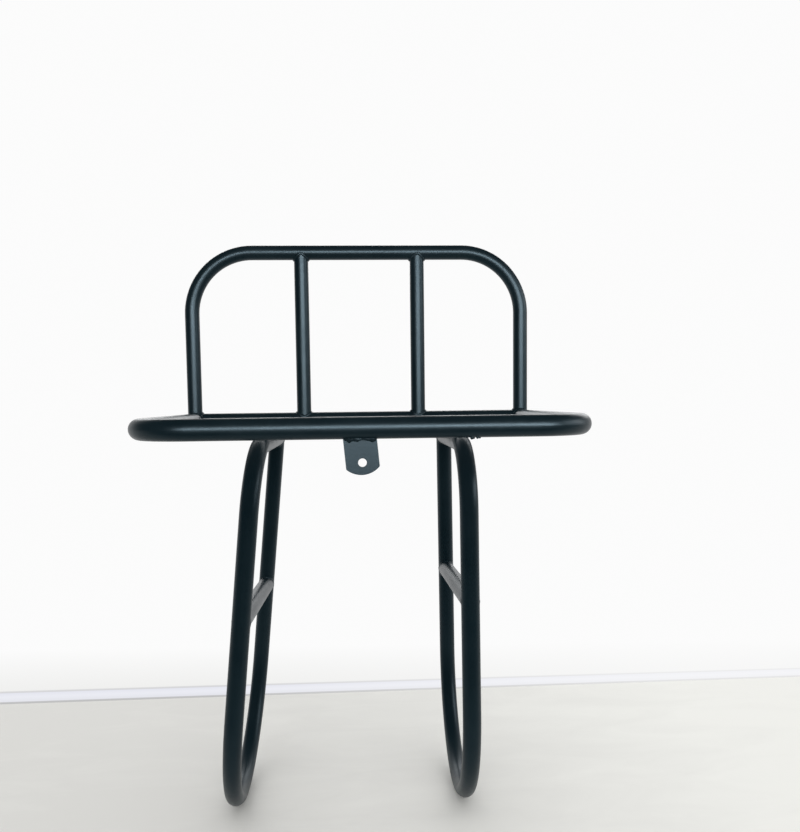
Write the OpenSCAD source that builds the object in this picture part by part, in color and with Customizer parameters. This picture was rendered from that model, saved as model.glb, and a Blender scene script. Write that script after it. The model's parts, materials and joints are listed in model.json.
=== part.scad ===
// Tubular steel luggage rack with a hooped backstop and two side loops.
// Millimetres. +Z is up, -Y is the open front, X runs from left to right.
// The origin is on the floor, under the middle of the deck.

/* [Tubes] */
// Outside diameter of the deck's frame tubes
deck_tube_d = 18; // [17:0.5:20]
// Outside diameter of the backstop, side loop and brace tubes
frame_tube_d = 16; // [14:0.5:16]
// Outside diameter of the two cross tubes under the load
cross_tube_d = 12; // [10:0.5:14]
// Wall thickness of every tube
tube_wall = 1.5; // [1:0.1:2]

/* [Deck] */
// Height of the deck's tube axes above the floor
deck_height = 360; // [330:1:400]
// Distance between the axes of the two side tubes
deck_width = 372; // [340:1:420]
// Distance from the front tube's axis to the rear rail's axis
deck_depth = 300; // [280:1:340]
// Bend radius of the two front corners
deck_corner_r = 45; // [35:1:60]
// How far the side tubes run past the rear rail's axis
side_tube_tail = 12; // [11:0.5:20]
// Front cross tube, measured back from the front tube's axis
front_cross_setback = 100; // [96:1:120]
// Rear cross tube, measured back from the front tube's axis
rear_cross_setback = 200; // [170:1:215]

/* [Backstop] */
// Height of the hoop's top tube axis above the deck's tube axes
hoop_height = 188; // [160:1:220]
// Bend radius of the hoop's two shoulders
hoop_bend_r = 68; // [50:1:90]
// Left bar, measured from the middle of the rack
left_bar_x = -63; // [-80:0.5:-50]
// Right bar, measured from the middle of the rack
right_bar_x = 67.5; // [50:0.5:80]

/* [Side loops] */
// Front leg of both loops, measured back from the front tube's axis
loop_setback = 28; // [24:1:34]
// Distance between a loop's front leg and its rear leg
loop_depth = 206; // [190:1:220]
// Bend radius where the front leg turns into the top run
loop_top_r = 57; // [45:1:62]
// Top run of the left loop, measured from the middle of the rack
left_loop_x = -90; // [-100:1:-80]
// Top run of the right loop, measured from the middle of the rack
right_loop_x = 88.5; // [80:0.5:100]
// Outward lean of the left loop, degrees
left_loop_lean = 5.5; // [0:0.1:7]
// Outward lean of the right loop, degrees
right_loop_lean = 0.5; // [0:0.1:7]
// Turn of both loops, their rear legs towards +X, degrees
loop_turn = 0.6; // [-2:0.1:2]
// Middle of the left brace, measured down the loop from its top run
left_brace_drop = 152; // [110:1:180]
// Middle of the right brace, measured down the loop from its top run
right_brace_drop = 138.5; // [110:0.5:180]
// How far a top run carries on behind its rear leg
run_lip = 1; // [0.5:0.1:2]
// Fall of both braces towards the rear, degrees
brace_fall = 3.4; // [0:0.1:8]

/* [Mounting tab] */
// Width of the tab
tab_w = 27; // [22:0.5:32]
// Thickness of the tab's plate
tab_t = 3; // [2:0.5:4]
// Length of the tab from the front tube's axis to its tip
tab_drop = 37.8; // [34:0.1:44]
// Radius of the tab's rounded tip
tab_tip_r = 19; // [17:0.5:24]
// Diameter of the bolt hole
tab_hole_d = 7; // [5:0.1:8]
// Hole centre, measured from the front tube's axis
tab_hole_drop = 28; // [25:0.5:29]
// Tab's middle line where it meets the front tube's axis
tab_x = -4.2; // [-20:0.1:20]
// Angle the tab is welded on at, degrees
tab_skew = 5.2; // [-8:0.1:8]

/* [Welds] */
// Gap left at a cut tube end before it is welded
root_gap = 0.2; // [0.1:0.05:0.3]
// How far a bead climbs the tube that ends there
bead_rise = 3; // [2.5:0.1:3.5]
// How far a bead stands out around the tube that ends there
bead_out = 2.3; // [1.5:0.1:2.4]

/* [Hidden] */
$fn = 96;

powder_black = [0.06, 0.08, 0.09];
weld_black = [0.10, 0.12, 0.13];

deck_r = deck_tube_d / 2;
frame_r = frame_tube_d / 2;
cross_r = cross_tube_d / 2;

// Fore-and-aft positions, with the whole rack centred on the origin.
front_y = deck_r - (deck_depth + side_tube_tail + deck_r) / 2;
rear_y = front_y + deck_depth;
side_x = deck_width / 2;

// The cross tubes and the loops' top runs meet at the deck's underside.
cross_z = deck_height - deck_r + cross_r;
run_z = deck_height - deck_r - root_gap - frame_r;
hoop_z = deck_height + hoop_height;

loop_half = loop_depth / 2;
loop_mid_y = front_y + loop_setback + loop_half;
// The run stops just behind the rear leg.
run_end = loop_half + frame_r + run_lip;

// Longer than any cut needs to be.
reach = 2 * bead_rise + deck_tube_d;

function loop_length(lean) = (run_z - frame_r) / cos(lean);

// ---------------------------------------------------------------- tube stock

module ring(d) {
    difference() {
        circle(d = d);
        circle(d = d - 2 * tube_wall);
    }
}

// Straight tube along +Z.
module pipe(d, length) {
    linear_extrude(length) ring(d);
}

// Bent tube around the origin in the XY plane, starting on +X.
module bend(d, radius, angle) {
    rotate_extrude(angle = angle) translate([radius, 0]) ring(d);
}

module along_x() {
    rotate([0, 90, 0]) children();
}

module along_y() {
    rotate([-90, 0, 0]) children();
}

// Solid rod along Z, centred, for cutting tube ends.
module rod(d, length) {
    cylinder(d = d, h = length, center = true);
}

// What a tube end is cut with so that it seats on another tube.
module seat(d, length) {
    rod(d + 2 * root_gap, length);
}

// --------------------------------------------------------------------- welds

// Lowest level of a bead, measured from the axis of the tube it runs along.
function bead_root(main_d, end_d) =
    max(sqrt(max(main_d * main_d - end_d * end_d, 0)) / 2 - bead_rise / 2, 0.15 * main_d);

// Bead where a tube standing on +Z ends on a tube lying along X.
module bead_body(main_d, end_d, tilt = 0) {
    intersection() {
        along_x() rod(main_d + 2 * bead_rise, 2 * reach);
        rotate([0, tilt, 0])
            translate([0, 0, bead_root(main_d, end_d)])
                cylinder(d = end_d + 2 * bead_out, h = reach);
    }
}

module tee_bead(main_d, end_d, tilt = 0) {
    difference() {
        bead_body(main_d, end_d, tilt);
        along_x() rod(main_d, 3 * reach);
        rotate([0, tilt, 0]) cylinder(d = end_d, h = 2 * reach);
    }
}

// Turns a bead so that its main tube lies along Y and the other one along +X.
module onto_x() {
    rotate([0, 90, 0]) rotate([0, 0, 90]) children();
}

// The same, with the other tube along -X.
module onto_minus_x() {
    rotate([0, -90, 0]) rotate([0, 0, 90]) children();
}

// ---------------------------------------------------------------------- deck

module side_tube_rod() {
    along_y() rod(deck_tube_d, 3 * reach);
}

module side_seats() {
    for (x = [-side_x, side_x]) {
        translate([x, rear_y, deck_height])
            along_y() seat(deck_tube_d, 3 * reach);
    }
}

// Right half of the U: front straight, corner and side tube.
module deck_front_half() {
    corner_x = side_x - deck_corner_r;
    translate([0, front_y, 0]) along_x() pipe(deck_tube_d, corner_x);
    translate([corner_x, front_y + deck_corner_r, 0])
        rotate([0, 0, -90]) bend(deck_tube_d, deck_corner_r, 90);
    translate([side_x, front_y + deck_corner_r, 0])
        along_y() pipe(deck_tube_d, deck_depth + side_tube_tail - deck_corner_r);
}

module deck_front_tube() {
    color(powder_black) translate([0, 0, deck_height]) {
        deck_front_half();
        mirror([1, 0, 0]) deck_front_half();
    }
}

module deck_rear_rail() {
    color(powder_black) difference() {
        translate([-side_x, rear_y, deck_height])
            along_x() pipe(deck_tube_d, deck_width);
        side_seats();
    }
}

module cross_tube(setback) {
    color(powder_black) difference() {
        translate([-side_x, front_y + setback, cross_z])
            along_x() pipe(cross_tube_d, deck_width);
        for (x = [-side_x, side_x]) {
            translate([x, front_y + setback, deck_height])
                along_y() seat(deck_tube_d, 3 * reach);
        }
    }
}

module cross_tube_front() {
    cross_tube(front_cross_setback);
}

module cross_tube_rear() {
    cross_tube(rear_cross_setback);
}

// ------------------------------------------------------------------ backstop

module rear_rail_seat() {
    translate([0, rear_y, deck_height])
        along_x() seat(deck_tube_d, deck_width);
}

// Right half of the hoop: upright, shoulder and top straight.
module hoop_half() {
    shoulder_x = side_x - hoop_bend_r;
    shoulder_z = hoop_height - hoop_bend_r;
    translate([side_x, 0, 0]) pipe(frame_tube_d, shoulder_z);
    translate([shoulder_x, 0, shoulder_z])
        rotate([90, 0, 0]) bend(frame_tube_d, hoop_bend_r, 90);
    translate([0, 0, hoop_height]) along_x() pipe(frame_tube_d, shoulder_x);
}

module backstop_hoop() {
    color(powder_black) difference() {
        translate([0, rear_y, deck_height]) {
            hoop_half();
            mirror([1, 0, 0]) hoop_half();
        }
        side_seats();
        rear_rail_seat();
    }
}

module backstop_bar(x) {
    color(powder_black) difference() {
        translate([x, rear_y, deck_height]) pipe(frame_tube_d, hoop_height);
        rear_rail_seat();
        translate([x, rear_y, hoop_z])
            along_x() seat(frame_tube_d, 3 * reach);
    }
}

module backstop_bar_left() {
    backstop_bar(left_bar_x);
}

module backstop_bar_right() {
    backstop_bar(right_bar_x);
}

// ---------------------------------------------------------------- side loops

// A loop's own plane: local X runs rearwards, local Y runs up the legs,
// and the origin is on the top run, midway between the legs.
module in_loop(x, lean) {
    translate([x, loop_mid_y, run_z])
        rotate([0, lean, -loop_turn])
            rotate([90, 0, 90]) children();
}

module in_left_loop() {
    in_loop(left_loop_x, left_loop_lean) children();
}

module in_right_loop() {
    in_loop(right_loop_x, -right_loop_lean) children();
}

// One tube: top run, front bend, front leg, hairpin and rear leg.
module loop_tube(length) {
    front_leg = length - loop_half - loop_top_r;
    hairpin_y = -loop_top_r - front_leg;
    translate([-loop_half, 0, 0]) {
        translate([loop_top_r, 0, 0])
            along_x() pipe(frame_tube_d, run_end + loop_half - loop_top_r);
        translate([loop_top_r, -loop_top_r, 0])
            rotate([0, 0, 90]) bend(frame_tube_d, loop_top_r, 90);
        translate([0, -loop_top_r, 0])
            rotate([90, 0, 0]) pipe(frame_tube_d, front_leg);
    }
    translate([0, hairpin_y, 0])
        rotate([0, 0, 180]) bend(frame_tube_d, loop_half, 180);
    difference() {
        translate([loop_half, hairpin_y, 0]) along_y() pipe(frame_tube_d, -hairpin_y);
        translate([loop_half, 0, 0]) along_x() seat(frame_tube_d, 3 * reach);
    }
}

module side_loop_left() {
    color(powder_black) in_left_loop() loop_tube(loop_length(left_loop_lean));
}

module side_loop_right() {
    color(powder_black) in_right_loop() loop_tube(loop_length(right_loop_lean));
}

module brace_tube(drop) {
    difference() {
        translate([0, -drop, 0]) rotate([0, 0, -brace_fall])
            translate([-loop_half, 0, 0]) along_x() pipe(frame_tube_d, loop_depth);
        for (x = [-loop_half, loop_half]) {
            translate([x, -drop, 0]) along_y() seat(frame_tube_d, 3 * reach);
        }
    }
}

module loop_brace_left() {
    color(powder_black) in_left_loop() brace_tube(left_brace_drop);
}

module loop_brace_right() {
    color(powder_black) in_right_loop() brace_tube(right_brace_drop);
}

// -------------------------------------------------------------- mounting tab

// The tab's own frame: origin on the front tube's axis, tab hanging down.
module in_tab() {
    translate([tab_x, front_y, deck_height])
        rotate([0, -tab_skew, 0]) children();
}

module mounting_tab() {
    tip_z = tab_tip_r - tab_drop;
    color(powder_black) in_tab() difference() {
        intersection() {
            translate([-tab_w / 2, -tab_t / 2, -2 * tab_drop])
                cube([tab_w, tab_t, 2 * tab_drop]);
            union() {
                translate([0, 0, tip_z]) along_y() rod(2 * tab_tip_r, 2 * tab_t);
                translate([-tab_w, -tab_t, tip_z]) cube([2 * tab_w, 2 * tab_t, tab_drop]);
            }
        }
        translate([0, 0, -tab_hole_drop]) along_y() rod(tab_hole_d, 2 * tab_t);
        rotate([0, tab_skew, 0]) along_x() rod(deck_tube_d, 2 * tab_w);
    }
}

// --------------------------------------------------------------- weld beads

// Where a side tube, the rear rail and a foot of the hoop meet.
module deck_corner_bead() {
    color(weld_black) difference() {
        union() {
            rotate([0, 0, 90]) bead_body(deck_tube_d, frame_tube_d);
            bead_body(deck_tube_d, frame_tube_d);
            onto_x() bead_body(deck_tube_d, deck_tube_d);
        }
        side_tube_rod();
        along_x() cylinder(d = deck_tube_d, h = 2 * reach);
        cylinder(d = frame_tube_d, h = 2 * reach);
    }
}

module weld_deck_corner_left() {
    translate([-side_x, rear_y, deck_height]) deck_corner_bead();
}

module weld_deck_corner_right() {
    translate([side_x, rear_y, deck_height]) rotate([0, 0, 180]) deck_corner_bead();
}

module bar_foot_bead(x) {
    color(weld_black) translate([x, rear_y, deck_height])
        tee_bead(deck_tube_d, frame_tube_d);
}

module weld_bar_foot_left() {
    bar_foot_bead(left_bar_x);
}

module weld_bar_foot_right() {
    bar_foot_bead(right_bar_x);
}

module bar_top_bead(x) {
    color(weld_black) translate([x, rear_y, hoop_z])
        rotate([180, 0, 0]) tee_bead(frame_tube_d, frame_tube_d);
}

module weld_bar_top_left() {
    bar_top_bead(left_bar_x);
}

module weld_bar_top_right() {
    bar_top_bead(right_bar_x);
}

// The cross tube sits below the side tube's axis, so its bead is cut with both.
module cross_bead(setback, side) {
    drop = cross_z - deck_height;
    color(weld_black) translate([side * side_x, front_y + setback, deck_height])
        rotate([0, 0, side < 0 ? 0 : 180]) difference() {
            intersection() {
                along_y() rod(deck_tube_d + 2 * bead_rise, 2 * reach);
                translate([deck_r / 2, 0, drop])
                    along_x() cylinder(d = cross_tube_d + 2 * bead_out, h = reach);
            }
            side_tube_rod();
            translate([0, 0, drop]) along_x() cylinder(d = cross_tube_d, h = 2 * reach);
        }
}

module weld_cross_front_left() {
    cross_bead(front_cross_setback, -1);
}

module weld_cross_front_right() {
    cross_bead(front_cross_setback, 1);
}

module weld_cross_rear_left() {
    cross_bead(rear_cross_setback, -1);
}

module weld_cross_rear_right() {
    cross_bead(rear_cross_setback, 1);
}

// Rods along a loop's top run and along a cross tube.
module run_rod(x, d) {
    translate([x, loop_mid_y, run_z])
        rotate([0, 0, -loop_turn]) along_y() rod(d, loop_depth);
}

module cross_rod(setback, d) {
    translate([0, front_y + setback, cross_z]) along_x() rod(d, deck_width);
}

// Bead around the point where a top run passes under a cross tube.
module run_bead(x, setback) {
    color(weld_black) difference() {
        intersection() {
            cross_rod(setback, cross_tube_d + 2 * bead_rise);
            run_rod(x, frame_tube_d + 2 * bead_out);
        }
        cross_rod(setback, cross_tube_d);
        run_rod(x, frame_tube_d);
    }
}

module weld_run_front_left() {
    run_bead(left_loop_x, front_cross_setback);
}

module weld_run_front_right() {
    run_bead(right_loop_x, front_cross_setback);
}

module weld_run_rear_left() {
    run_bead(left_loop_x, rear_cross_setback);
}

module weld_run_rear_right() {
    run_bead(right_loop_x, rear_cross_setback);
}

// Where the rear leg ends on its own top run, trimmed level with that run's end.
module close_bead() {
    color(weld_black) translate([loop_half, 0, 0]) intersection() {
        rotate([90, 0, 0]) tee_bead(frame_tube_d, frame_tube_d);
        translate([frame_r + run_lip - 2 * reach, -reach, -reach]) cube(2 * reach);
    }
}

module weld_loop_close_left() {
    in_left_loop() close_bead();
}

module weld_loop_close_right() {
    in_right_loop() close_bead();
}

module brace_front_bead(drop) {
    color(weld_black)
        translate([-loop_half, loop_half * tan(brace_fall) - drop, 0])
            onto_x() tee_bead(frame_tube_d, frame_tube_d, -brace_fall);
}

module brace_rear_bead(drop) {
    color(weld_black)
        translate([loop_half, -loop_half * tan(brace_fall) - drop, 0])
            onto_minus_x() tee_bead(frame_tube_d, frame_tube_d, brace_fall);
}

module weld_brace_front_left() {
    in_left_loop() brace_front_bead(left_brace_drop);
}

module weld_brace_front_right() {
    in_right_loop() brace_front_bead(right_brace_drop);
}

module weld_brace_rear_left() {
    in_left_loop() brace_rear_bead(left_brace_drop);
}

module weld_brace_rear_right() {
    in_right_loop() brace_rear_bead(right_brace_drop);
}

// Fillet around the top edge of the tab.
module weld_tab() {
    color(weld_black) difference() {
        intersection() {
            translate([tab_x, front_y, deck_height])
                along_x() rod(deck_tube_d + 2 * bead_rise, 2 * tab_w);
            in_tab() translate([-tab_w / 2 - bead_out, -tab_t / 2 - bead_out, -reach])
                cube([tab_w + 2 * bead_out, tab_t + 2 * bead_out, reach]);
        }
        translate([tab_x, front_y, deck_height]) along_x() rod(deck_tube_d, 3 * tab_w);
        in_tab() translate([-tab_w / 2, -tab_t / 2, -2 * reach])
            cube([tab_w, tab_t, 2 * reach]);
    }
}

// ------------------------------------------------------------------- drawing

deck_front_tube();
deck_rear_rail();
cross_tube_front();
cross_tube_rear();
backstop_hoop();
backstop_bar_left();
backstop_bar_right();
side_loop_left();
side_loop_right();
loop_brace_left();
loop_brace_right();
mounting_tab();
weld_deck_corner_left();
weld_deck_corner_right();
weld_bar_foot_left();
weld_bar_foot_right();
weld_bar_top_left();
weld_bar_top_right();
weld_cross_front_left();
weld_cross_front_right();
weld_cross_rear_left();
weld_cross_rear_right();
weld_run_front_left();
weld_run_front_right();
weld_run_rear_left();
weld_run_rear_right();
weld_loop_close_left();
weld_loop_close_right();
weld_brace_front_left();
weld_brace_front_right();
weld_brace_rear_left();
weld_brace_rear_right();
weld_tab();
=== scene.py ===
"""Finishes the welded luggage rack.

It gives the tubes their powder coat, lays a weld bead at every joint, and sets up a
plain studio.
"""

import json
import logging
import math
from dataclasses import dataclass, field
from enum import Enum
from typing import Mapping, Sequence, Union

import bpy
import numpy as np
from mathutils import Matrix, Vector

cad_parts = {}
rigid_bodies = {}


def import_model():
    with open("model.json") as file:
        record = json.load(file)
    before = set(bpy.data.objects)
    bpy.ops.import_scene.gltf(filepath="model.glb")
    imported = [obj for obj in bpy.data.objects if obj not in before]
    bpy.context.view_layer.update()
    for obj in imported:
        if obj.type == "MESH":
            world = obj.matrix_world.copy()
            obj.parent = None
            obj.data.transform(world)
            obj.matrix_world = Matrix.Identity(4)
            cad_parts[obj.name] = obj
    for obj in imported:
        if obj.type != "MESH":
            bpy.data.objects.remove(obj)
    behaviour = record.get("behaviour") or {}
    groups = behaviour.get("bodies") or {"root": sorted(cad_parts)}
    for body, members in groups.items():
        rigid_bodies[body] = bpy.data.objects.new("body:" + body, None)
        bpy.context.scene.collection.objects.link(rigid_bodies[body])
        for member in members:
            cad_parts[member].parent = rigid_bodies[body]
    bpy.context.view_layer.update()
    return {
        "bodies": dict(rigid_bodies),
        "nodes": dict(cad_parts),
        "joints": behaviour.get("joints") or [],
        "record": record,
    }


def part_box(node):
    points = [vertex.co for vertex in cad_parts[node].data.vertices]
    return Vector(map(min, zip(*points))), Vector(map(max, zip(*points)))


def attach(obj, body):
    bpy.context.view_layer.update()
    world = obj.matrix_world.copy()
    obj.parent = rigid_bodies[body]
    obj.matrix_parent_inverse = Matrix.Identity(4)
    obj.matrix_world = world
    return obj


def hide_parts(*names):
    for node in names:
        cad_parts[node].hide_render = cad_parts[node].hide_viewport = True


LOG = logging.getLogger("luggage_rack")
ROOT_BODY = "root"
MM = 0.001
TINY = 1e-9
X_AXIS = Vector((1, 0, 0))
Y_AXIS = Vector((0, 1, 0))
Z_AXIS = Vector((0, 0, 1))

# A mix node shares its socket names between data types, so the colour ones go by number.
MIX_FACTOR, MIX_LOW, MIX_HIGH, MIX_RESULT = 0, 6, 7, 2

Socket = bpy.types.NodeSocket
Feed = Union[float, Sequence[float], Socket]
Colour = tuple[float, float, float]
MeshData = tuple[np.ndarray, list[list[int]]]


class Side(Enum):
    """Which side of the rack a part is on, seen from the front."""

    LEFT = -1
    RIGHT = 1

    @property
    def word(self) -> str:
        """The side's name as the rack's nodes spell it."""
        return self.name.lower()


class End(Enum):
    """The front one or the rear one of a pair."""

    FRONT = -1
    REAR = 1

    @property
    def word(self) -> str:
        """The end's name as the rack's nodes spell it."""
        return self.name.lower()


class Slot(Enum):
    """Finish slots of the rack."""

    TUBES = "powder_coat"
    WELDS = "coated_weld"


class Seed(Enum):
    """Where the unevenness of each kind of bead starts."""

    TAB = 7
    CROSS_END = 20
    DECK_CORNER = 31
    HOOP_FOOT = 41
    BAR_FOOT = 51
    BAR_TOP = 61
    LOOP_CLOSE = 71
    BRACE_END = 81
    RUN_PAD = 91

    def at(self, side: Side, step: int = 0) -> int:
        """The seed of one bead of this kind."""
        return self.value + step + side.value


# ------------------------------------------------------------------ finishes


@dataclass(frozen=True)
class NodeBench:
    """Adds shader nodes to one tree and joins them up."""

    tree: bpy.types.NodeTree

    def feed(self, node: bpy.types.Node, inputs: Mapping[str | int, Feed]) -> None:
        """Links or sets some inputs of a node.

        Args:
            node: The node.
            inputs: What goes into it, by the socket's name or number.
        """
        for key, value in inputs.items():
            if isinstance(value, Socket):
                self.tree.links.new(value, node.inputs[key])
            else:
                node.inputs[key].default_value = value

    def add(
        self, kind: str, inputs: Mapping[str | int, Feed] | None = None, **choices: str
    ) -> bpy.types.Node:
        """Adds one node.

        Args:
            kind: Its type, without the first part that all shader nodes share.
            inputs: What goes into it, by the socket's name or number.
            choices: Its menu choices, such as its operation.

        Returns:
            The node.
        """
        node = self.tree.nodes.new(f"ShaderNode{kind}")
        for name, choice in choices.items():
            setattr(node, name, choice)
        self.feed(node, inputs or {})
        return node

    def sum(self, operation: str, *values: Feed) -> Socket:
        """One sum on two or three values."""
        return self.add("Math", dict(enumerate(values)), operation=operation).outputs["Value"]

    def span(
        self,
        value: Feed,
        start: tuple[Feed, Feed],
        end: tuple[float, float] = (0.0, 1.0),
        easing: str = "LINEAR",
    ) -> Socket:
        """Carries a value from one range into another, and holds it there.

        Args:
            value: The value.
            start: The range it comes from.
            end: The range it goes to.
            easing: How it runs from one end to the other.

        Returns:
            The value in its new range.
        """
        inputs = {
            "Value": value,
            "From Min": start[0],
            "From Max": start[1],
            "To Min": end[0],
            "To Max": end[1],
        }
        return self.add("MapRange", inputs, interpolation_type=easing).outputs["Result"]

    def ramp(self, value: Feed, stops: Sequence[tuple[float, Colour]]) -> Socket:
        """Turns a value into a colour.

        Args:
            value: The value, from zero to one.
            stops: Positions and colours, in order.

        Returns:
            The colour.
        """
        node = self.add("ValToRGB", {"Fac": value})
        elements = node.color_ramp.elements
        for element, (position, colour) in zip(elements, (stops[0], stops[-1])):
            element.position = position
            element.color = (*colour, 1)
        for position, colour in stops[1:-1]:
            elements.new(position).color = (*colour, 1)
        return node.outputs["Color"]

    def light(self, strength: float) -> Socket:
        """Plain white light of one strength."""
        inputs = {"Color": (1, 1, 1, 1), "Strength": strength}
        return self.add("Background", inputs).outputs["Background"]

    def mix_shaders(self, share: Feed, low: Socket, high: Socket) -> Socket:
        """Two shaders blended by a share from zero to one."""
        return self.add("MixShader", {"Fac": share, 1: low, 2: high}).outputs["Shader"]


@dataclass(frozen=True)
class PowderCoat:
    """Satin powder coat: near-black with a blue-green cast, cured with a fine orange peel.

    Sizes are in metres and colours are linear.
    """

    name: str
    colour: Colour = (0.0022, 0.0102, 0.0150)
    worn_colour: Colour = (0.0048, 0.0144, 0.0198)
    colour_span: tuple[float, float] = (0.35, 0.75)
    roughness: tuple[float, float] = (0.33, 0.40)
    gloss_span: tuple[float, float] = (0.35, 0.65)
    specular: float = 0.21
    cast: tuple[float, float, float, float] = (0.66, 0.87, 1.0, 1.0)
    peel_pitch: float = 0.0016
    peel_depth: float = 0.000035
    peel_detail: float = 2.0
    grain_per_peel: float = 2.2
    drift_pitch: float = 0.045
    drift_detail: float = 3.0

    def build(self) -> bpy.types.Material:
        """Makes the node material.

        Returns:
            The finished material.
        """
        material = bpy.data.materials.new(self.name)
        material.use_nodes = True
        bench = NodeBench(material.node_tree)
        place = bench.add("TexCoord").outputs["Object"]
        drift = self._noise(bench, place, self.drift_pitch, self.drift_detail)
        grain_pitch = self.peel_pitch * self.grain_per_peel
        grain = self._noise(bench, place, grain_pitch, self.peel_detail)
        peel = self._noise(bench, place, self.peel_pitch, self.peel_detail)
        bump = {"Distance": self.peel_depth, "Strength": 1.0, "Height": peel}
        inputs = {
            "Specular IOR Level": self.specular,
            "Specular Tint": self.cast,
            "Base Color": self._colour(bench, drift),
            "Roughness": self._gloss(bench, drift, grain),
            "Normal": bench.add("Bump", bump).outputs["Normal"],
        }
        bench.feed(material.node_tree.nodes["Principled BSDF"], inputs)
        return material

    @staticmethod
    def _noise(bench: NodeBench, place: Socket, pitch: float, detail: float) -> Socket:
        """Noise whose lumps have one pitch, in metres."""
        inputs = {"Vector": place, "Scale": 1.0 / pitch, "Detail": detail}
        return bench.add("TexNoise", inputs).outputs["Fac"]

    def _colour(self, bench: NodeBench, drift: Socket) -> Socket:
        """The black, which drifts slightly along the tubes."""
        low, high = self.colour_span
        return bench.ramp(drift, ((low, self.colour), (high, self.worn_colour)))

    def _gloss(self, bench: NodeBench, drift: Socket, grain: Socket) -> Socket:
        """The roughness, which varies in broad patches and in a fine grain."""
        blend = bench.sum("MULTIPLY_ADD", grain, 0.5, bench.sum("MULTIPLY", drift, 0.5))
        return bench.span(blend, self.gloss_span, self.roughness)


@dataclass(frozen=True)
class Finishes:
    """The rack's two finishes, made once and shared by every part."""

    tubes: bpy.types.Material
    welds: bpy.types.Material

    @classmethod
    def build(cls) -> "Finishes":
        """Makes both coats; the coat lies thicker and rougher over the welds.

        Returns:
            The two finishes.
        """
        tubes = PowderCoat("satin_powder_coat")
        welds = PowderCoat(
            "powder_coat_over_weld",
            roughness=(0.34, 0.50),
            peel_pitch=0.0011,
            peel_depth=0.00006,
        )
        return cls(tubes.build(), welds.build())

    def material(self, slot: Slot) -> bpy.types.Material:
        """The material of a slot."""
        return self.tubes if slot is Slot.TUBES else self.welds


# --------------------------------------------------------------------- pieces


def joined(parts: Sequence[MeshData]) -> MeshData:
    """Several meshes as one.

    Args:
        parts: The points and faces of each.

    Returns:
        The points and faces of all.
    """
    points, faces, start = [], [], 0
    for some, theirs in parts:
        points.append(some)
        faces += [[start + k for k in f] for f in theirs]
        start += len(some)
    return np.vstack(points), faces


@dataclass
class Shop:
    """Puts parts on the rack and keeps a list of them."""

    frame: dict
    finishes: Finishes
    done: list[str] = field(default_factory=list)

    def coat(self, node: str) -> None:
        """Gives a tube or plate of the frame its finish.

        Args:
            node: The frame node's name.
        """
        slot = Slot.TUBES
        piece = self.frame["nodes"][node]
        piece.data.materials.clear()
        piece.data.materials.append(self.finishes.material(slot))
        for polygon in piece.data.polygons:
            polygon.use_smooth = True
        self.done.append(node)

    def lay(self, name: str, beads: Sequence[MeshData], stands_for: Sequence[str] = ()) -> None:
        """Makes a piece of weld metal, finishes it and fixes it to the rack.

        Args:
            name: The piece's name.
            beads: The points, in metres, and the faces of each bead.
            stands_for: The frame nodes that it is shown in place of.
        """
        slot = Slot.WELDS
        points, faces = joined(beads)
        mesh = bpy.data.meshes.new(name)
        mesh.from_pydata([tuple(p) for p in points], [], [tuple(f) for f in faces])
        mesh.validate()
        for polygon in mesh.polygons:
            polygon.use_smooth = True
        mesh.materials.append(self.finishes.material(slot))
        piece = bpy.data.objects.new(name, mesh)
        bpy.context.scene.collection.objects.link(piece)
        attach(piece, ROOT_BODY)
        if stands_for:
            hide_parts(*stands_for)
        self.done.append(name)

    def weld(self, joint: str, *beads: MeshData) -> None:
        """Lays a joint's beads in place of its plain weld."""
        self.lay(f"bead_{joint}", beads, [f"weld_{joint}"])


def middle(node: str) -> Vector:
    """The middle of a frame node."""
    low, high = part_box(node)
    return (low + high) / 2


def outer_axis(node: str, side: Side, radius: float) -> float:
    """Where the axis of a node's outermost tube lies on one side."""
    low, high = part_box(node)
    return (high if side is Side.RIGHT else low).x - side.value * radius


def axes_frame(origin: Vector, main: Vector, end: Vector) -> Matrix:
    """A joint's frame: X along the main tube, Z along the tube that ends there.

    Args:
        origin: Where the two axes meet.
        main: Direction of the main tube.
        end: Direction of the tube that ends on it, away from the joint.

    Returns:
        The frame as a matrix.
    """
    z = end.normalized()
    x = (main - main.dot(z) * z).normalized()
    y = z.cross(x)
    turn = Matrix((x, y, z)).transposed().to_4x4()
    return Matrix.Translation(origin) @ turn


# ---------------------------------------------------------------- weld beads


def unit(rows: np.ndarray) -> np.ndarray:
    """Each row at length one."""
    return rows / np.maximum(np.linalg.norm(rows, axis=1, keepdims=True), TINY)


def around(count: int) -> np.ndarray:
    """Even steps around a full turn, in radians."""
    return np.linspace(0, 2 * math.pi, count, endpoint=False)


@dataclass(frozen=True)
class BeadPath:
    """A weld's line: points, the way the bead faces there, and its size there."""

    points: np.ndarray
    faces: np.ndarray
    half_width: np.ndarray
    height: np.ndarray

    def moved(self, placed: Matrix) -> "BeadPath":
        """The same line in another place.

        Args:
            placed: Where the line's own frame lies on the rack.

        Returns:
            The line on the rack.
        """
        full = np.array(placed)
        turn, shift = full[:3, :3], full[:3, 3]
        points = self.points @ turn.T + shift
        return BeadPath(points, self.faces @ turn.T, self.half_width, self.height)


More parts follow.
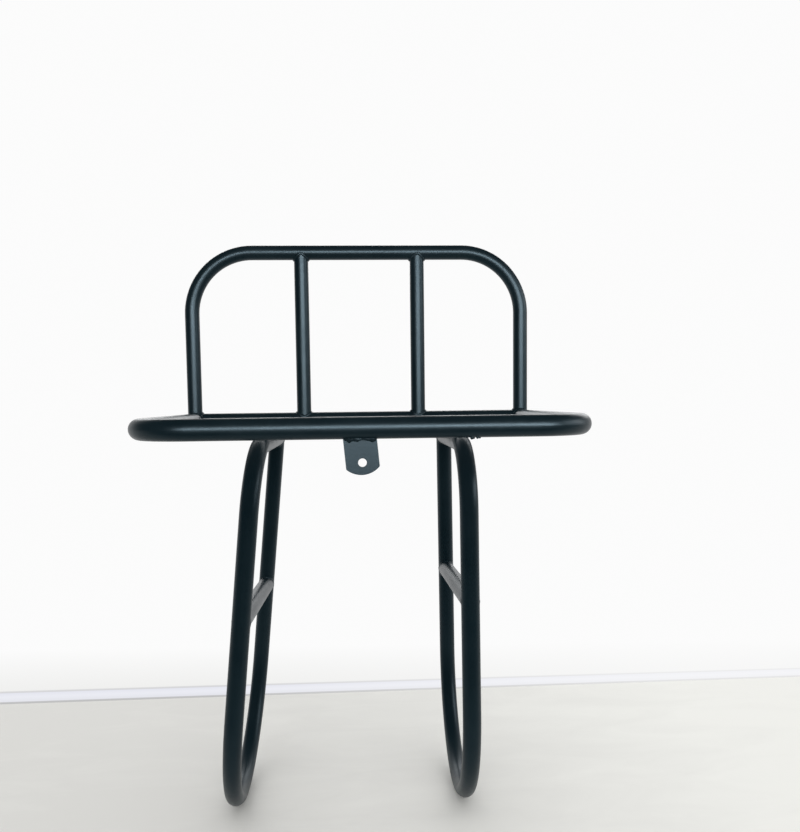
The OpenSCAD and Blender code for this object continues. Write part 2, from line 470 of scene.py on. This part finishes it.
@dataclass(frozen=True)
class Bead:
    """A bead laid by hand: overlapping puddles of even pitch, a little uneven in width.

    The curl is how far a puddle's rim lags at the bead's two edges, and the crest
    power is how steeply it rises to the rim.
    """

    half_width: float = 2.0 * MM
    height: float = 1.3 * MM
    root: float = 0.8 * MM
    pitch: float = 1.75 * MM
    ripple: float = 0.20
    unevenness: float = 0.22
    sway: float = 0.35 * MM
    curl: float = 0.42
    crest_power: float = 1.6
    crest_level: float = 0.35
    step: float = 0.4 * MM
    sides: int = 16
    fewest_puddles: int = 3
    fewest_steps: int = 12
    waves: tuple[int, ...] = tuple(range(2, 9))
    wave_shift: float = 6.28

    def mesh(self, path: BeadPath, seed: int) -> MeshData:
        """Lays the bead along a closed line.

        Args:
            path: The weld's line.
            seed: Picks this bead's unevenness.

        Returns:
            Its points and faces.
        """
        line, along, length = self._resampled(path)
        points, count = line.points, len(line.points)
        ahead = unit(np.roll(points, -1, 0) - np.roll(points, 1, 0))
        across = unit(np.cross(ahead, line.faces))
        out = unit(np.cross(across, ahead))
        rng = np.random.default_rng(seed)
        drift = self._drift(rng, count)
        sway = self._drift(rng, count) * self.sway
        turn = around(self.sides)
        puddles = max(self.fewest_puddles, round(length / self.pitch))
        rows = []
        for i in range(count):
            rim = along[i] / length * puddles - self.curl * np.sin(turn) ** 2
            crest = (rim % 1.0) ** self.crest_power - self.crest_level
            swell = 1 + self.ripple * crest + self.unevenness * drift[i]
            wide = line.half_width[i] * self.half_width * swell
            tall = line.height[i] * self.height * swell
            high = np.where(np.cos(turn) > 0, tall, self.root)
            rows.append(
                points[i]
                + across[i] * sway[i]
                + np.outer(np.sin(turn) * wide, across[i])
                + np.outer(np.cos(turn) * high, out[i])
            )
        return np.vstack(rows), self._skin(count)

    def _resampled(self, path: BeadPath) -> tuple[BeadPath, np.ndarray, float]:
        """The line again, with points at one even step.

        Args:
            path: The line as it was drawn.

        Returns:
            The new line, how far along it each point lies, and its length.
        """
        points = np.vstack([path.points, path.points[:1]])
        gaps = np.linalg.norm(np.diff(points, axis=0), axis=1)
        along = np.concatenate([[0], np.cumsum(gaps)])
        length = along[-1]
        count = max(self.fewest_steps, int(length / self.step))
        want = np.linspace(0, length, count, endpoint=False)

        def even(values: np.ndarray) -> np.ndarray:
            """Values at the even step."""
            rows = np.concatenate([values, values[:1]]).reshape(len(along), -1)
            return np.stack([np.interp(want, along, column) for column in rows.T], 1)

        line = BeadPath(
            even(path.points),
            unit(even(path.faces)),
            even(path.half_width)[:, 0],
            even(path.height)[:, 0],
        )
        return line, want, length

    def _drift(self, rng: np.random.Generator, count: int) -> np.ndarray:
        """A slow wander between about -1 and 1, with no jump at the join.

        Args:
            rng: Where its randomness comes from.
            count: Points along the line.

        Returns:
            The wander at each point.
        """
        turn = around(count)
        total = np.zeros(count)
        for wave in self.waves:
            size = rng.normal() / wave**0.5
            total += size * np.sin(wave * turn + rng.uniform(0, self.wave_shift))
        return total / max(TINY, np.abs(total).max())

    def _skin(self, count: int) -> list[list[int]]:
        """Faces around the bead.

        Args:
            count: Points along the line.

        Returns:
            The faces, as rows of the bead's points.
        """
        faces, sides = [], self.sides
        for here in range(count):
            ahead = (here + 1) % count
            for k in range(sides):
                m = (k + 1) % sides
                ring = (here * sides + k, here * sides + m, ahead * sides + m, ahead * sides + k)
                faces.append(list(ring))
        return faces


@dataclass(frozen=True)
class Saddle:
    """The line where a tube standing on +Z ends on a tube lying along X.

    The flank is the bead's height where the two tubes' walls run on into each
    other, as a share of its height in the corner between them, and the narrowest
    is the same share of its width.
    """

    main_r: float
    end_r: float
    tilt: float = 0.0
    offset: float = 0.0
    blunt: float = 1.2 * MM
    lift: float = 0.1 * MM
    flank: float = 0.8
    narrowest: float = 0.9

    def path(self, count: int = 180) -> BeadPath:
        """The weld's line in the joint's own frame.

        Args:
            count: Points around the line.

        Returns:
            The closed line.
        """
        t = around(count)
        y = self.offset + self.end_r * np.sin(t)
        z = np.sqrt(np.maximum(self.main_r**2 - y**2, 0) + self.blunt**2)
        s, c = math.sin(self.tilt), math.cos(self.tilt)
        rise = (z + self.end_r * np.cos(t) * s) / c
        x = self.end_r * np.cos(t) * c + rise * s
        points = np.stack([x, y, z], 1)
        main = unit(np.stack([0 * y, y, z], 1))
        end = unit(np.stack([np.cos(t) * c, np.sin(t), -np.cos(t) * s], 1))
        out = unit(main + end)
        corner = 1 - np.clip((main * end).sum(1), 0, 1)
        wide = self.narrowest + (1 - self.narrowest) * corner
        tall = self.flank + (1 - self.flank) * corner
        return BeadPath(points + out * self.lift, out, wide, tall)


@dataclass(frozen=True)
class Spatter:
    """A round drop of weld metal under a rail, a little longer downwards."""

    x: float
    angle: float
    size: float
    droop: float = 1.25
    rings: int = 9
    sides: int = 14

    def mesh(self, rail_y: float, rail_z: float, rail_r: float) -> MeshData:
        """The drop where it hangs.

        Args:
            rail_y: Where the rail's axis lies along y.
            rail_z: Its height.
            rail_r: The rail's radius.

        Returns:
            Its points and faces.
        """
        turn = math.radians(self.angle)
        way = np.array([0, math.sin(turn), -math.cos(turn)])
        centre = np.array([self.x, rail_y, rail_z]) + way * rail_r
        points = [centre + np.array([0, 0, self.size])]
        for i in range(1, self.rings):
            lean = math.pi * i / self.rings
            drop = self.droop if lean > math.pi / 2 else 1.0
            flat = around(self.sides)
            down = np.full(self.sides, math.cos(lean) * drop)
            wide = math.sin(lean)
            ring = np.stack([np.cos(flat) * wide, np.sin(flat) * wide, down], 1)
            points += list(centre + ring * self.size)
        points.append(centre - np.array([0, 0, self.size * self.droop]))
        return np.array(points), self._skin(len(points) - 1)

    def _skin(self, last: int) -> list[list[int]]:
        """Faces from the drop's top point, ring by ring, to its lowest one.

        Args:
            last: The lowest point's row.

        Returns:
            The faces, as rows of the drop's points.
        """
        faces = []
        for k in range(self.sides):
            m = (k + 1) % self.sides
            faces.append([0, 1 + k, 1 + m])
            for i in range(self.rings - 2):
                a, b = 1 + i * self.sides, 1 + (i + 1) * self.sides
                faces.append([a + k, b + k, b + m, a + m])
            tail = 1 + (self.rings - 2) * self.sides
            faces.append([tail + k, last, tail + m])
        return faces


# --------------------------------------------------------------- deck frame


@dataclass
class DeckFrame:
    """The flat deck: a U of tube, its rear rail and two cross tubes below."""

    tube_r: float = 9 * MM
    cross_r: float = 6 * MM
    foot_r: float = 8 * MM
    rail_blunt: float = 2.2 * MM
    cross_blunt: float = 3.5 * MM
    foot_ease: float = 0.8 * MM
    foot_lift: float = 0.1 * MM
    foot_steps: int = 240
    bead: Bead = Bead()
    cross_bead: Bead = Bead(half_width=1.9 * MM, height=1.4 * MM)
    spatter: tuple[Spatter, ...] = (
        Spatter(86.2 * MM, -14.0, 1.5 * MM),
        Spatter(88.0 * MM, 2.0, 1.1 * MM),
        Spatter(90.6 * MM, -20.0, 1.3 * MM),
        Spatter(92.8 * MM, -6.0, 0.8 * MM),
    )

    def build(self, shop: Shop) -> None:
        """Coats the tubes and lays the deck's beads.

        Args:
            shop: Where the parts are put on the rack.
        """
        for node in ("deck_front_tube", "deck_rear_rail", "cross_tube_front", "cross_tube_rear"):
            shop.coat(node)
        for side in Side:
            self._corner(shop, side)
            for end in End:
                self._cross_end(shop, side, end)
        rail_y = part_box("deck_front_tube")[0].y + self.tube_r
        rail_z = middle("deck_front_tube").z
        drops = [drop.mesh(rail_y, rail_z, self.tube_r) for drop in self.spatter]
        shop.lay("weld_spatter", drops)

    def _corner(self, shop: Shop, side: Side) -> None:
        """Beads where side tube, rear rail and the hoop's foot meet.

        Args:
            shop: Where the parts are put on the rack.
            side: The corner's side.
        """
        rail = middle("deck_rear_rail")
        origin = Vector((outer_axis("backstop_hoop", side, self.foot_r), rail.y, rail.z))
        inward = -side.value * X_AXIS
        line = Saddle(self.tube_r, self.tube_r, blunt=self.rail_blunt).path()
        rail_line = line.moved(axes_frame(origin, Y_AXIS, inward))
        foot_line = self._foot_path().moved(axes_frame(origin, inward, Z_AXIS))
        shop.weld(
            f"deck_corner_{side.word}",
            self.bead.mesh(rail_line, Seed.DECK_CORNER.at(side)),
            self.bead.mesh(foot_line, Seed.HOOP_FOOT.at(side)),
        )

    def _foot_path(self) -> BeadPath:
        """Line around the hoop's foot, over the side tube and the rear rail.

        Returns:
            The closed line; its own +X points at the rear rail.
        """
        t = around(self.foot_steps)
        x, y = self.foot_r * np.cos(t), self.foot_r * np.sin(t)
        on_side = np.sqrt(self.tube_r**2 - x**2)
        on_rail = np.where(x > 0, np.sqrt(self.tube_r**2 - y**2), 0)
        ease = self.foot_ease
        z = (on_side + on_rail + np.hypot(on_side - on_rail, ease)) / 2
        share = np.clip((on_rail - on_side) / (2 * ease) + 0.5, 0, 1)[:, None]
        side = unit(np.stack([x, 0 * y, on_side], 1))
        rail = unit(np.stack([0 * x, y, on_rail + TINY], 1))
        main = unit(side * (1 - share) + rail * share)
        end = np.stack([np.cos(t), np.sin(t), 0 * t], 1)
        out = unit(main + end)
        points = np.stack([x, y, z], 1) + out * self.foot_lift
        return BeadPath(points, out, np.ones(len(t)), np.ones(len(t)))

    def _cross_end(self, shop: Shop, side: Side, end: End) -> None:
        """Bead where a cross tube ends on a side tube.

        Args:
            shop: Where the parts are put on the rack.
            side: The side tube's side.
            end: Which cross tube.
        """
        low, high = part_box(f"cross_tube_{end.word}")
        deck_low, deck_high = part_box("deck_front_tube")
        x = outer_axis("deck_front_tube", side, self.tube_r)
        deck_z = (deck_low.z + deck_high.z) / 2
        origin = Vector((x, (low.y + high.y) / 2, deck_z))
        placed = axes_frame(origin, Y_AXIS, -side.value * X_AXIS)
        offset = ((low.z + high.z) / 2 - deck_z) * placed.col[1].z
        line = Saddle(self.tube_r, self.cross_r, offset=offset, blunt=self.cross_blunt).path()
        seed = Seed.CROSS_END.at(side, int(end is End.REAR))
        bead = self.cross_bead.mesh(line.moved(placed), seed)
        shop.weld(f"cross_{end.word}_{side.word}", bead)


# ----------------------------------------------------------------- backstop


@dataclass
class Backstop:
    """The upright hoop behind the deck and its two bars."""

    tube_r: float = 8 * MM
    rail_r: float = 9 * MM
    top_blunt: float = 2 * MM
    bead: Bead = Bead(half_width=1.8 * MM, height=1.15 * MM)

    def build(self, shop: Shop) -> None:
        """Coats the tubes and lays the bars' beads.

        Args:
            shop: Where the parts are put on the rack.
        """
        shop.coat("backstop_hoop")
        for side in Side:
            shop.coat(f"backstop_bar_{side.word}")
            self._bar_beads(shop, side)

    def _bar_beads(self, shop: Shop, side: Side) -> None:
        """Beads at the foot and the top of one bar.

        Args:
            shop: Where the parts are put on the rack.
            side: The bar's side.
        """
        x = middle(f"backstop_bar_{side.word}").x
        rail = middle("deck_rear_rail")
        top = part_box("backstop_hoop")[1].z - self.tube_r
        foot = axes_frame(Vector((x, rail.y, rail.z)), X_AXIS, Z_AXIS)
        head = axes_frame(Vector((x, rail.y, top)), X_AXIS, -Z_AXIS)
        foot_line = Saddle(self.rail_r, self.tube_r).path().moved(foot)
        top_line = Saddle(self.tube_r, self.tube_r, blunt=self.top_blunt).path().moved(head)
        foot_bead = self.bead.mesh(foot_line, Seed.BAR_FOOT.at(side))
        shop.weld(f"bar_foot_{side.word}", foot_bead)
        top_bead = self.bead.mesh(top_line, Seed.BAR_TOP.at(side))
        shop.weld(f"bar_top_{side.word}", top_bead)


# --------------------------------------------------------------- side loops


@dataclass
class SideLoop:
    """One loop of tube that hangs below the deck, with its brace."""

    side: Side
    lean: float
    brace_drop: float
    turn: float = math.radians(-0.6)
    brace_fall: float = math.radians(3.4)
    depth: float = 206 * MM
    tube_r: float = 8 * MM
    cross_r: float = 6 * MM
    blunt: float = 2 * MM
    flank: float = 0.15
    bead: Bead = Bead()
    pad_r: float = 5.2 * MM
    pad_overlap: float = 1.2 * MM
    pad_steps: int = 160
    pad_seed_step: int = 5
    brace_seed_step: int = 3
    pad_bead: Bead = Bead(half_width=2.2 * MM, height=1.6 * MM, root=2.5 * MM)

    def build(self, shop: Shop) -> None:
        """Coats the loop and its brace and lays their beads.

        Args:
            shop: Where the parts are put on the rack.
        """
        shop.coat(f"side_loop_{self.side.word}")
        shop.coat(f"loop_brace_{self.side.word}")
        self._close(shop)
        for end in End:
            self._brace_end(shop, end)
        for end in End:
            self._run_pad(shop, end)

    def _frame(self) -> Matrix:
        """The loop's own frame: X rearwards, Y up the legs.

        Returns:
            The frame as a matrix; its origin is mid-way on the top run.
        """
        front = middle(f"weld_run_front_{self.side.word}")
        rear = middle(f"weld_run_rear_{self.side.word}")
        low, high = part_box(f"side_loop_{self.side.word}")
        centre_y = low.y + self.tube_r + self.depth / 2
        share = (centre_y - front.y) / (rear.y - front.y)
        x = front.x + (rear.x - front.x) * share
        origin = Vector((x, centre_y, high.z - self.tube_r))
        turn = Matrix.Rotation(self.turn, 4, "Z")
        lean = Matrix.Rotation(self.lean, 4, "Y")
        upright = Matrix(((0, 0, 1, 0), (1, 0, 0, 0), (0, 1, 0, 0), (0, 0, 0, 1)))
        return Matrix.Translation(origin) @ turn @ lean @ upright

    def _joint(self, x: float, y: float, main: Vector, end: Vector) -> Matrix:
        """A joint's frame on the rack.

        Args:
            x: The joint's place along the loop's own X.
            y: Its place along the loop's own Y.
            main: Direction of the main tube, in the loop's own frame.
            end: Direction of the tube that ends on it, in the loop's own frame.

        Returns:
            The frame as a matrix.
        """
        placed = self._frame()
        turn = placed.to_3x3()
        return axes_frame(placed @ Vector((x, y, 0)), turn @ main, turn @ end)

    def _line(self, joint: Matrix, tilt: float = 0.0) -> BeadPath:
        """The line where one of the loop's tubes ends on another.

        Args:
            joint: The joint's frame.
            tilt: How far the ending tube is from square, in radians.

        Returns:
            The closed line on the rack.
        """
        saddle = Saddle(
            self.tube_r, self.tube_r, tilt, blunt=self.blunt, lift=0, flank=self.flank
        )
        return saddle.path().moved(joint)

    def _close(self, shop: Shop) -> None:
        """Bead where the rear leg ends on its own top run.

        Args:
            shop: Where the parts are put on the rack.
        """
        joint = self._joint(self.depth / 2, 0, X_AXIS, -Y_AXIS)
        bead = self.bead.mesh(self._line(joint), Seed.LOOP_CLOSE.at(self.side))
        shop.weld(f"loop_close_{self.side.word}", bead)

    def _brace_end(self, shop: Shop, end: End) -> None:
        """Bead where the brace ends on a leg.

        Args:
            shop: Where the parts are put on the rack.
            end: Which leg.
        """
        way, half = end.value, self.depth / 2
        y = -self.brace_drop - way * half * math.tan(self.brace_fall)
        inward = -way * X_AXIS
        brace = Vector((-way * math.cos(self.brace_fall), way * math.sin(self.brace_fall), 0))
        square = axes_frame(Vector(), Y_AXIS, inward).to_3x3()
        local = square.transposed() @ brace
        line = self._line(
            self._joint(way * half, y, Y_AXIS, inward), math.atan2(local.x, local.z)
        )
        bead = self.bead.mesh(line, Seed.BRACE_END.at(self.side, self.brace_seed_step * way))
        shop.weld(f"brace_{end.word}_{self.side.word}", bead)

    def _run_pad(self, shop: Shop, end: End) -> None:
        """Ring of weld between the top run and the cross tube that lies on it.

        Args:
            shop: Where the parts are put on the rack.
            end: Which cross tube.
        """
        joint = f"run_{end.word}_{self.side.word}"
        at = middle(f"weld_{joint}")
        run_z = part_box(f"side_loop_{self.side.word}")[1].z - self.tube_r
        cross = middle(f"cross_tube_{end.word}")
        t = around(self.pad_steps)
        x, y = self.pad_r * np.cos(t), self.pad_r * np.sin(t)
        lower = run_z + np.sqrt(self.tube_r**2 - x**2)
        upper = cross.z - np.sqrt(self.cross_r**2 - y**2)
        points = np.stack([at.x + x, cross.y + y, (lower + upper) / 2], 1)
        out = np.stack([np.cos(t), np.sin(t), 0 * t], 1)
        wide = ((upper - lower) / 2 + self.pad_overlap) / self.pad_bead.half_width
        path = BeadPath(points, out, wide, np.ones(len(t)))
        seed = Seed.RUN_PAD.at(self.side, self.pad_seed_step * (end is End.REAR))
        shop.weld(joint, self.pad_bead.mesh(path, seed))


# ----------------------------------------------------------------- bolt tab


@dataclass(frozen=True)
class Drip:
    """A heavy place in a fillet, by its place along it, its spread and its amount."""

    centre: float
    spread: float
    amount: float

    def share(self, x: np.ndarray) -> np.ndarray:
        """How much of the drip lies at each place."""
        return self.amount * np.exp(-(((x - self.centre) / self.spread) ** 2))


@dataclass
class BoltTab:
    """The flat tab under the front rail and the fillet that holds it."""

    width: float = 27 * MM
    thickness: float = 3 * MM
    rail_r: float = 9 * MM
    end_gap: float = 1.6 * MM
    corner_power: float = 0.12
    sag: float = 0.35
    drip_width: float = 1.9
    drip_height: float = 0.35
    steps: int = 400
    bead: Bead = Bead(half_width=1.3 * MM, height=1.2 * MM, ripple=0.12)
    drips: tuple[Drip, ...] = (
        Drip(-8.5 * MM, 1.7 * MM, 1.1),
        Drip(-3.0 * MM, 1.3 * MM, 0.4),
        Drip(3.4 * MM, 1.1 * MM, 1.2),
        Drip(9.6 * MM, 1.9 * MM, 0.8),
    )

    def build(self, shop: Shop) -> None:
        """Coats the tab and lays its fillet.

        Args:
            shop: Where the parts are put on the rack.
        """
        shop.coat("mounting_tab")
        weld = middle("weld_tab")
        rail_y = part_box("deck_front_tube")[0].y + self.rail_r
        rail_z = middle("deck_front_tube").z
        t = around(self.steps)
        x = self._pressed(np.cos(t), self.width / 2 - self.end_gap)
        y = self._pressed(np.sin(t), self.thickness / 2)
        z = -np.sqrt(self.rail_r**2 - y**2)
        points = np.stack([weld.x + x, rail_y + y, rail_z + z], 1)
        side = unit(np.stack([x / self.width, y / self.thickness, 0 * x], 1))
        out = unit(side + np.array([0, 0, -self.sag]))
        heavy = self.drip_width * sum(drip.share(x) for drip in self.drips) * (y < 0)
        path = BeadPath(points, out, 1 + heavy, 1 + heavy * self.drip_height)
        shop.weld("tab", self.bead.mesh(path, Seed.TAB.value))

    def _pressed(self, wave: np.ndarray, reach: float) -> np.ndarray:
        """A round line pressed out to a rectangle with small corner radii."""
        return np.sign(wave) * np.abs(wave) ** self.corner_power * reach


# ------------------------------------------------------------------- studio


@dataclass(frozen=True)
class FloorFinish:
    """Pale sealed floor, a low white skirting behind it, and a plain white wall.

    The skirting and the wall are drawn on the far part of the floor as glowing colour, so
    that they stand in nobody's way. The skirting carries painted shadow lines at its foot
    and along its top edge, and the wall is greyed by painted shade just above it. A line
    is a height on the y axis and its rise along x.
    """

    near_colour: Colour = (0.755, 0.75, 0.72)
    far_colour: Colour = (0.92, 0.92, 0.88)
    roughness: float = 0.55
    specular: float = 0.12
    tone_span: tuple[float, float] = (-0.20, 0.42)
    mottle: float = 0.75
    mottle_scale: float = 7.0
    mottle_stretch: float = 2.6
    mottle_detail: float = 9.0
    mottle_roughness: float = 0.62
    mottle_swirl: float = 0.8
    foot_line: tuple[float, float] = (0.2608, 0.0085)
    top_line: tuple[float, float] = (0.3035, -0.003)
    strip_share: float = 0.2
    fade: float = 0.6
    # Painted shadow line at the skirting's foot, the skirting's face, a painted shadow line along
    # its top edge, then the wall, greyed by painted shade just above the skirting and white
    # further up.
    bands: tuple[tuple[float, Colour], ...] = (
        (0.000, (0.50, 0.50, 0.50)),
        (0.026, (0.54, 0.54, 0.55)),
        (0.036, (0.78, 0.79, 0.84)),
        (0.110, (0.83, 0.84, 0.90)),
        (0.172, (0.78, 0.79, 0.86)),
        (0.180, (0.66, 0.66, 0.68)),
        (0.200, (0.70, 0.70, 0.71)),
        (0.212, (0.87, 0.87, 0.86)),
        (1.000, (0.97, 0.97, 0.97)),
    )

    def build(self) -> bpy.types.Material:
        """Makes the floor's material.

        Returns:
            The finished material.
        """
        material = bpy.data.materials.new("pale_floor")
        material.use_nodes = True
        nodes = material.node_tree.nodes
        bench = NodeBench(material.node_tree)
        place = bench.add("TexCoord").outputs["Object"]
        apart = bench.add("SeparateXYZ", {"Vector": place}).outputs
        along, away = apart["X"], apart["Y"]
        foot = self._line(bench, along, *self.foot_line)
        inputs = {
            "Roughness": self.roughness,
            "Specular IOR Level": self.specular,
            "Base Color": self._tone(bench, place, along),
        }
        bench.feed(nodes["Principled BSDF"], inputs)
        glow = bench.add("Emission", {"Color": self._beyond(bench, along, away, foot)})
        paths = bench.add("LightPath").outputs
        seen = bench.sum("MAXIMUM", paths["Is Camera Ray"], paths["Is Glossy Ray"])
        seen = bench.sum("MAXIMUM", seen, paths["Is Transmission Ray"])
        share = bench.sum("MULTIPLY", bench.sum("GREATER_THAN", away, foot), seen)
        floor = nodes["Principled BSDF"].outputs["BSDF"]
        surface = bench.mix_shaders(share, floor, glow.outputs["Emission"])
        bench.feed(nodes["Material Output"], {"Surface": surface})
        return material

    def _tone(self, bench: NodeBench, place: Socket, along: Socket) -> Socket:
        """The floor's colour, which drifts from one tone to the other with a soft mottle.

        Args:
            bench: The material's nodes.
            place: Where on the floor the shaded point is.
            along: Its place along x.

        Returns:
            The colour.
        """
        stretch = {"Vector": place, "Scale": (1.0, self.mottle_stretch, 1.0)}
        inputs = {
            "Vector": bench.add("Mapping", stretch).outputs["Vector"],
            "Scale": self.mottle_scale,
            "Detail": self.mottle_detail,
            "Roughness": self.mottle_roughness,
            "Distortion": self.mottle_swirl,
        }
        level = bench.sum("SUBTRACT", bench.add("TexNoise", inputs).outputs["Fac"], 0.5)
        drift = bench.span(along, self.tone_span)
        blend = bench.sum("MULTIPLY_ADD", level, self.mottle, drift)
        return bench.ramp(blend, ((0.0, self.near_colour), (1.0, self.far_colour)))

    def _beyond(self, bench: NodeBench, along: Socket, away: Socket, foot: Socket) -> Socket:
        """The skirting with its painted shadow lines and the white wall with painted shade at its
        foot, on the far part of the floor; towards +x the drawing fades partly into the wall's
        white.

        Args:
            bench: The material's nodes.
            along: The shaded point's place along x.
            away: Its place along y.
            foot: Where along y the skirting starts.

        Returns:
            The colour.
        """
        depth = self.top_line[0] - self.foot_line[0]
        taper = self.top_line[1] - self.foot_line[1]
        start = self.foot_line[0] + depth / self.strip_share
        whole = self._line(bench, along, start, self.foot_line[1] + taper / self.strip_share)
        # The skirting's bands, with their painted shadow lines and the painted shade on the wall.
        bands = bench.ramp(bench.span(away, (foot, whole)), self.bands)
        wall = (*self.bands[-1][1], 1)
        fading = bench.span(along, self.tone_span, (0.0, self.fade))
        inputs = {MIX_FACTOR: fading, MIX_LOW: bands, MIX_HIGH: wall}
        return bench.add("Mix", inputs, data_type="RGBA").outputs[MIX_RESULT]

    @staticmethod
    def _line(bench: NodeBench, along: Socket, start: float, rise: float) -> Socket:
        """A straight line over the floor, by its start and its rise along x."""
        return bench.sum("MULTIPLY_ADD", along, rise, start)


@dataclass(frozen=True)
class SoftBox:
    """A soft rectangular lamp that points at one place and shows in reflections only."""

    name: str
    place: tuple[float, float, float]
    target: tuple[float, float, float]
    size: tuple[float, float]
    power: float
    leaves_out: tuple[str, ...] = ()

    def build(self) -> None:
        """Adds the lamp."""
        data = bpy.data.lights.new(self.name, "AREA")
        data.shape = "RECTANGLE"
        data.size, data.size_y = self.size
        data.energy = self.power
        lamp = bpy.data.objects.new(self.name, data)
        lamp.location = self.place
        aim = Vector(self.target) - Vector(self.place)
        lamp.rotation_euler = aim.to_track_quat("-Z", "Y").to_euler()
        lamp.visible_diffuse = False
        bpy.context.scene.collection.objects.link(lamp)
        if self.leaves_out:
            lamp.light_linking.receiver_collection = self._unlit()

    def _unlit(self) -> bpy.types.Collection:
        """The pieces that the lamp leaves out.

        Returns:
            A collection that only the lamp uses.
        """
        unlit = bpy.data.collections.new(f"not_lit_by_{self.name}")
        for name in self.leaves_out:
            unlit.objects.link(bpy.data.objects[name])
        for entry in unlit.collection_objects:
            entry.light_linking.link_state = "EXCLUDE"
        return unlit


@dataclass(frozen=True)
class BlackCloth:
    """A black sheet in front of the rack that only shows in what the rack reflects: painted shade
    that darkens the reflected floor and room in front.
    """

    reach: float = 6.0
    edge: float = -0.36
    height: float = 0.5 * MM
    shade: float = 0.02
    roughness: float = 0.9

    def build(self) -> None:
        """Spreads the painted-shade sheet, out of sight of the camera."""
        far, near, up = self.reach, self.edge, self.height
        corners = ((-far, -far, up), (far, -far, up), (far, near, up), (-far, near, up))
        mesh = bpy.data.meshes.new("black_cloth")
        mesh.from_pydata(corners, [], [(0, 1, 2, 3)])
        material = bpy.data.materials.new("black_cloth")
        material.use_nodes = True
        shader = material.node_tree.nodes["Principled BSDF"]
        shader.inputs["Base Color"].default_value = (self.shade, self.shade, self.shade, 1)
        shader.inputs["Roughness"].default_value = self.roughness
        mesh.materials.append(material)
        shade_sheet = bpy.data.objects.new("black_cloth", mesh)
        # Painted shade for reflections only: the sheet is hidden from the camera, from diffuse
        # light and from shadows.
        shade_sheet.visible_camera = False
        shade_sheet.visible_diffuse = False
        shade_sheet.visible_shadow = False
        bpy.context.scene.collection.objects.link(shade_sheet)


@dataclass(frozen=True)
class Viewpoint:
    """The camera, a little above the deck and turned slightly to the right."""

    eye: tuple[float, float, float] = (-0.01112, -0.82988, 0.38178)
    pan: float = -0.058054
    tilt: float = -0.082530
    roll: float = 0.011952
    focal: float = 36.780
    sensor: float = 36.0
    shift_up: float = 0.06514
    nearest: float = 0.01

    def build(self) -> None:
        """Adds the camera."""
        data = bpy.data.cameras.new("camera")
        data.sensor_width = self.sensor
        data.lens = self.focal
        data.shift_y = self.shift_up
        data.clip_start = self.nearest
        camera = bpy.data.objects.new("camera", data)
        turn = (
            Matrix.Rotation(self.pan, 4, "Z")
            @ Matrix.Rotation(math.pi / 2 + self.tilt, 4, "X")
            @ Matrix.Rotation(-self.roll, 4, "Z")
        )
        camera.matrix_world = Matrix.Translation(self.eye) @ turn
        bpy.context.scene.collection.objects.link(camera)
        bpy.context.scene.camera = camera


@dataclass
class Studio:
    """Pale floor, white surroundings, soft lamps and the camera."""

    floor_reach: float = 6.0
    surround: float = 0.97
    room: float = 0.06
    fill: float = 0.96
    wall_side: tuple[float, float, float] = (0.0, 0.80, -0.60)
    room_edge: tuple[float, float] = (0.0, 0.50)
    lamps: tuple[SoftBox, ...] = (
        SoftBox(
            "front_softbox",
            place=(0.45, -2.3, 0.82),
            target=(0.05, 0.0, 0.68),
            size=(2.7, 0.60),
            power=170.0,
            leaves_out=(
                "studio_floor",
                "side_loop_left",
                "side_loop_right",
                "loop_brace_left",
                "loop_brace_right",
            ),
        ),
        SoftBox(
            "side_softbox",
            place=(2.0, -0.35, 0.98),
            target=(0.0, 0.0, 0.70),
            size=(1.6, 0.8),
            power=22.0,
        ),
        SoftBox(
            "rim_softbox",
            place=(0.25, 1.7, 1.10),
            target=(0.0, 0.0, 0.45),
            size=(2.6, 0.60),
            power=16.0,
        ),
    )

    def build(self) -> None:
        """Adds everything around the rack."""
        self._floor()
        self._surroundings()
        for lamp in self.lamps:
            lamp.build()
        # A dark sheet that paints shade into what the rack reflects.
        BlackCloth().build()
        Viewpoint().build()
        bpy.context.scene.view_settings.view_transform = "Standard"

    def _floor(self) -> None:
        """A wide floor under the rack."""
        reach = self.floor_reach
        mesh = bpy.data.meshes.new("studio_floor")
        corners = [(-reach, -reach, 0), (reach, -reach, 0), (reach, reach, 0), (-reach, reach, 0)]
        mesh.from_pydata(corners, [], [(0, 1, 2, 3)])
        mesh.materials.append(FloorFinish().build())
        floor = bpy.data.objects.new("studio_floor", mesh)
        bpy.context.scene.collection.objects.link(floor)

    def _surroundings(self) -> None:
        """White behind the rack, a dim room around it in reflections, and an even fill."""
        world = bpy.data.worlds.new("studio")
        bpy.context.scene.world = world
        world.use_nodes = True
        world.node_tree.nodes.clear()
        bench = NodeBench(world.node_tree)
        white = bench.light(self.surround)
        room = bench.light(self.room)
        fill = bench.light(self.fill)
        place = bench.add("TexCoord").outputs["Generated"]
        towards = {0: place, 1: self.wall_side}
        facing = bench.add("VectorMath", towards, operation="DOT_PRODUCT").outputs["Value"]
        behind = bench.span(facing, self.room_edge, easing="SMOOTHSTEP")
        around_rack = bench.mix_shaders(behind, room, white)
        paths = bench.add("LightPath").outputs
        glossy = bench.sum("MAXIMUM", paths["Is Glossy Ray"], paths["Is Transmission Ray"])
        lit = bench.mix_shaders(glossy, fill, around_rack)
        shown = bench.mix_shaders(paths["Is Camera Ray"], lit, white)
        bench.add("OutputWorld", {"Surface": shown})


def main() -> None:
    """Builds the rack's parts in order, then the studio, and reports each part."""
    logging.basicConfig(level=logging.INFO, format="%(message)s")
    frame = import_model()
    shop = Shop(frame, Finishes.build())
    DeckFrame().build(shop)
    Backstop().build(shop)
    SideLoop(Side.LEFT, lean=math.radians(5.5), brace_drop=152 * MM).build(shop)
    SideLoop(Side.RIGHT, lean=math.radians(-0.5), brace_drop=138.5 * MM).build(shop)
    BoltTab().build(shop)
    for name in shop.done:
        LOG.info("part %s", name)
    Studio().build()
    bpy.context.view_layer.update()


if __name__ == "__main__":
    main()
